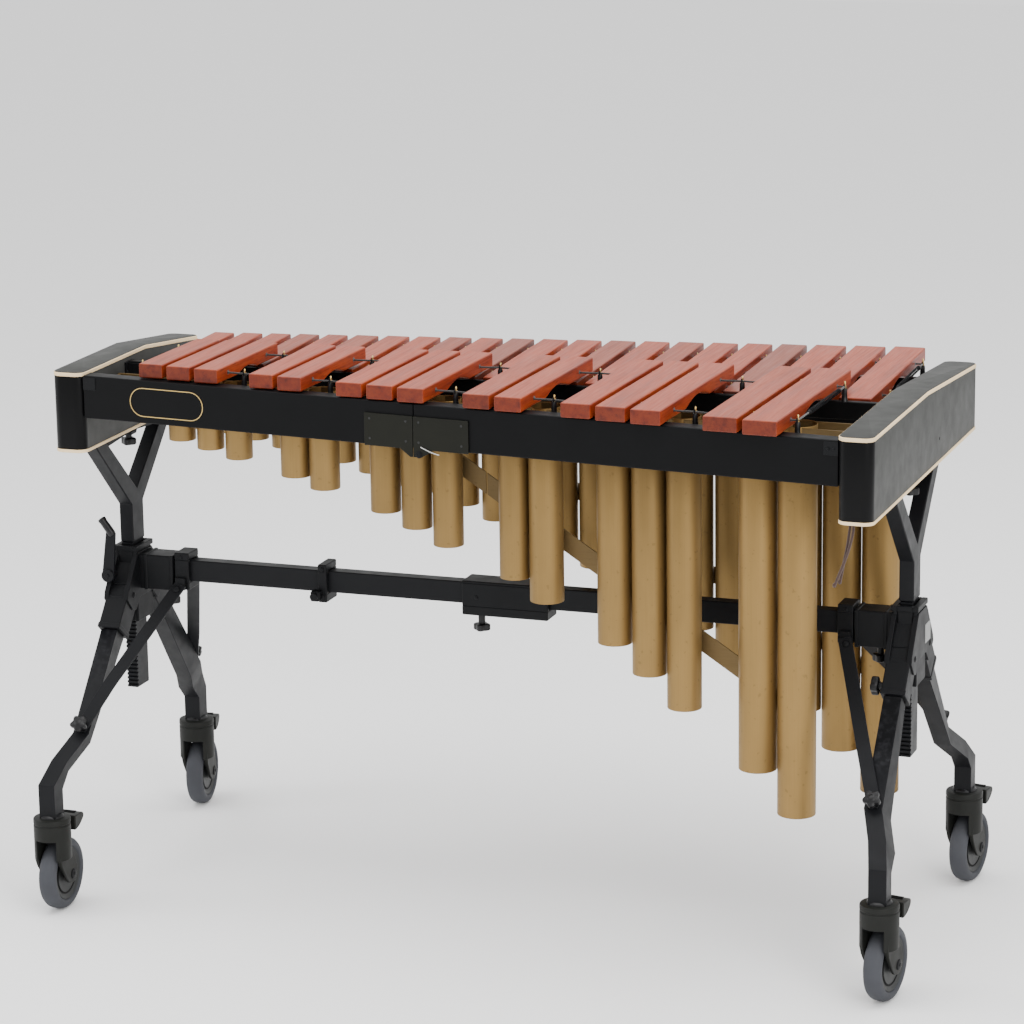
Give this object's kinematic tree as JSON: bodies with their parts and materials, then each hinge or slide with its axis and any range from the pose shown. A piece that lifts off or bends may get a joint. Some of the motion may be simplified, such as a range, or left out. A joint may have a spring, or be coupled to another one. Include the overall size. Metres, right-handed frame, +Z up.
{
  "type": "marimba",
  "caption": "Three-octave keyboard percussion with graduated wooden bars in two rows, gold tube resonators and an adjustable black stand on braked casters.",
  "frame": {"origin": "on the floor, under the middle of the instrument's outline", "axes": "+Z up, +X along the keyboard towards the low notes, +Y from the audience towards the player"},
  "size_m": [1.5295, 0.7759, 0.956],
  "materials": {
    "block": "black painted, fine texture, cream piping at the edges",
    "rail": "black satin paint",
    "padouk": "oiled orange-red hardwood",
    "tube": "satin champagne gold",
    "steel": "black powder coat",
    "plastic": "matt black",
    "tyre": "smooth grey tread",
    "cord": "braided dark brown"
  },
  "bodies": {
    "stand": {"hub_low": "steel", "hub_high": "steel", "leg_low_near": "steel", "leg_low_far": "steel", "leg_high_near": "steel", "leg_high_far": "steel", "crossbar_high": "steel", "crossbar_low": "steel", "crossbar_coupler": "steel", "collar_low": "steel", "collar_high": "steel", "brace_low_near": "steel", "brace_low_far": "steel", "brace_high_near": "steel", "brace_high_far": "steel"},
    "keyboard": {"y_column_low": "steel", "y_column_high": "steel", "end_block_low": "block", "end_block_high": "block", "front_rail_high": "rail", "front_rail_low": "rail", "hinge_leaf_high": "steel", "hinge_leaf_low": "steel", "accidental_rail": "rail", "natural_near_rail": "rail", "natural_far_rail": "rail", "bars_natural_high": "padouk", "bars_natural_low": "padouk", "bars_accidental_high": "padouk", "bars_accidental_low": "padouk", "resonators_accidental_high": "tube", "resonators_accidental_low": "tube", "resonators_natural_high": "tube", "resonators_natural_low": "tube", "cord_tail_a": "cord", "cord_tail_b": "cord"},
    "knob_low_near": {"knob_low_near": "plastic"},
    "knob_low_far": {"knob_low_far": "plastic"},
    "bar_screw_low": {"bar_screw_low": "plastic"},
    "block_screw_low": {"block_screw_low": "plastic"},
    "knob_high_near": {"knob_high_near": "plastic"},
    "knob_high_far": {"knob_high_far": "plastic"},
    "bar_screw_high": {"bar_screw_high": "plastic"},
    "block_screw_high": {"block_screw_high": "plastic"},
    "coupler_screw": {"coupler_screw": "plastic"},
    "leg_screw_low": {"leg_screw_low": "plastic"},
    "clamp_lever": {"clamp_lever": "steel"},
    "spare_collar": {"spare_collar": "steel"},
    "caster_low_near": {"caster_low_near": "plastic"},
    "wheel_low_near": {"wheel_low_near": "tyre"},
    "pedal_low_near": {"pedal_low_near": "plastic"},
    "caster_low_far": {"caster_low_far": "plastic"},
    "wheel_low_far": {"wheel_low_far": "tyre"},
    "pedal_low_far": {"pedal_low_far": "plastic"},
    "caster_high_near": {"caster_high_near": "plastic"},
    "wheel_high_near": {"wheel_high_near": "tyre"},
    "pedal_high_near": {"pedal_high_near": "plastic"},
    "caster_high_far": {"caster_high_far": "plastic"},
    "wheel_high_far": {"wheel_high_far": "tyre"},
    "pedal_high_far": {"pedal_high_far": "plastic"}
  },
  "joints": [
    {"name": "height_adjust", "type": "slide", "parent": "stand", "child": "keyboard", "axis": [0, 0, 1], "range_m": [-0.05, 0.1]},
    {"name": "knob_low_near_turn", "type": "hinge", "parent": "stand", "child": "knob_low_near", "pos_m": [0.6975, -0.25194, 0.31404], "axis": [0, -0.769, 0.6392], "range_deg": [-180, 180]},
    {"name": "knob_low_far_turn", "type": "hinge", "parent": "stand", "child": "knob_low_far", "pos_m": [0.6975, 0.20994, 0.31404], "axis": [0, 0.769, 0.6392], "range_deg": [-180, 180]},
    {"name": "bar_screw_low_turn", "type": "hinge", "parent": "stand", "child": "bar_screw_low", "pos_m": [0.65, -0.021, 0.5], "axis": [0, 0, 1], "range_deg": [-180, 180]},
    {"name": "block_screw_low_turn", "type": "hinge", "parent": "keyboard", "child": "block_screw_low", "pos_m": [0.6975, -0.021, 0.78], "axis": [0, 0, 1], "range_deg": [-180, 180]},
    {"name": "knob_high_near_turn", "type": "hinge", "parent": "stand", "child": "knob_high_near", "pos_m": [-0.6975, -0.25194, 0.31404], "axis": [0, -0.769, 0.6392], "range_deg": [-180, 180]},
    {"name": "knob_high_far_turn", "type": "hinge", "parent": "stand", "child": "knob_high_far", "pos_m": [-0.6975, 0.20994, 0.31404], "axis": [0, 0.769, 0.6392], "range_deg": [-180, 180]},
    {"name": "bar_screw_high_turn", "type": "hinge", "parent": "stand", "child": "bar_screw_high", "pos_m": [-0.624, -0.021, 0.5], "axis": [0, 0, 1], "range_deg": [-180, 180]},
    {"name": "block_screw_high_turn", "type": "hinge", "parent": "keyboard", "child": "block_screw_high", "pos_m": [-0.6975, -0.021, 0.78], "axis": [0, 0, 1], "range_deg": [-180, 180]},
    {"name": "coupler_screw_turn", "type": "hinge", "parent": "stand", "child": "coupler_screw", "pos_m": [-0.047, -0.021, 0.5], "axis": [0, 0, 1], "range_deg": [-180, 180]},
    {"name": "leg_screw_low_turn", "type": "hinge", "parent": "stand", "child": "leg_screw_low", "pos_m": [0.667, -0.105, 0.461], "axis": [1, 0, 0], "range_deg": [-180, 180]},
    {"name": "clamp_lever_swing", "type": "hinge", "parent": "stand", "child": "clamp_lever", "pos_m": [-0.714, -0.089, 0.54], "axis": [0, -1, 0], "range_deg": [0, 80]},
    {"name": "spare_collar_slide", "type": "slide", "parent": "stand", "child": "spare_collar", "axis": [1, 0, 0], "range_m": [-0.22, 0.23]},
    {"name": "caster_low_near_swivel", "type": "hinge", "parent": "stand", "child": "caster_low_near", "pos_m": [0.7265, -0.321, 0.15], "axis": [0, 0, 1], "continuous": true},
    {"name": "wheel_low_near_roll", "type": "hinge", "parent": "caster_low_near", "child": "wheel_low_near", "pos_m": [0.73057, -0.29532, 0.0625], "axis": [0.9877, -0.1564, 0], "continuous": true},
    {"name": "pedal_low_near_press", "type": "hinge", "parent": "caster_low_near", "child": "pedal_low_near", "pos_m": [0.73213, -0.28544, 0.13], "axis": [0.9877, -0.1564, 0], "range_deg": [-12, 0]},
    {"name": "caster_low_far_swivel", "type": "hinge", "parent": "stand", "child": "caster_low_far", "pos_m": [0.7265, 0.279, 0.15], "axis": [0, 0, 1], "continuous": true},
    {"name": "wheel_low_far_roll", "type": "hinge", "parent": "caster_low_far", "child": "wheel_low_far", "pos_m": [0.73057, 0.30468, 0.0625], "axis": [0.9877, -0.1564, 0], "continuous": true},
    {"name": "pedal_low_far_press", "type": "hinge", "parent": "caster_low_far", "child": "pedal_low_far", "pos_m": [0.73213, 0.31456, 0.13], "axis": [0.9877, -0.1564, 0], "range_deg": [-12, 0]},
    {"name": "caster_high_near_swivel", "type": "hinge", "parent": "stand", "child": "caster_high_near", "pos_m": [-0.7265, -0.321, 0.15], "axis": [0, 0, 1], "continuous": true},
    {"name": "wheel_high_near_roll", "type": "hinge", "parent": "caster_high_near", "child": "wheel_high_near", "pos_m": [-0.7265, -0.295, 0.0625], "axis": [1, 0, 0], "continuous": true},
    {"name": "pedal_high_near_press", "type": "hinge", "parent": "caster_high_near", "child": "pedal_high_near", "pos_m": [-0.7265, -0.285, 0.13], "axis": [1, 0, 0], "range_deg": [-12, 0]},
    {"name": "caster_high_far_swivel", "type": "hinge", "parent": "stand", "child": "caster_high_far", "pos_m": [-0.7265, 0.279, 0.15], "axis": [0, 0, 1], "continuous": true},
    {"name": "wheel_high_far_roll", "type": "hinge", "parent": "caster_high_far", "child": "wheel_high_far", "pos_m": [-0.73012, 0.30475, 0.0625], "axis": [0.9903, 0.1392, 0], "continuous": true},
    {"name": "pedal_high_far_press", "type": "hinge", "parent": "caster_high_far", "child": "pedal_high_far", "pos_m": [-0.73151, 0.31465, 0.13], "axis": [0.9903, 0.1392, 0], "range_deg": [-12, 0]}
  ]
}
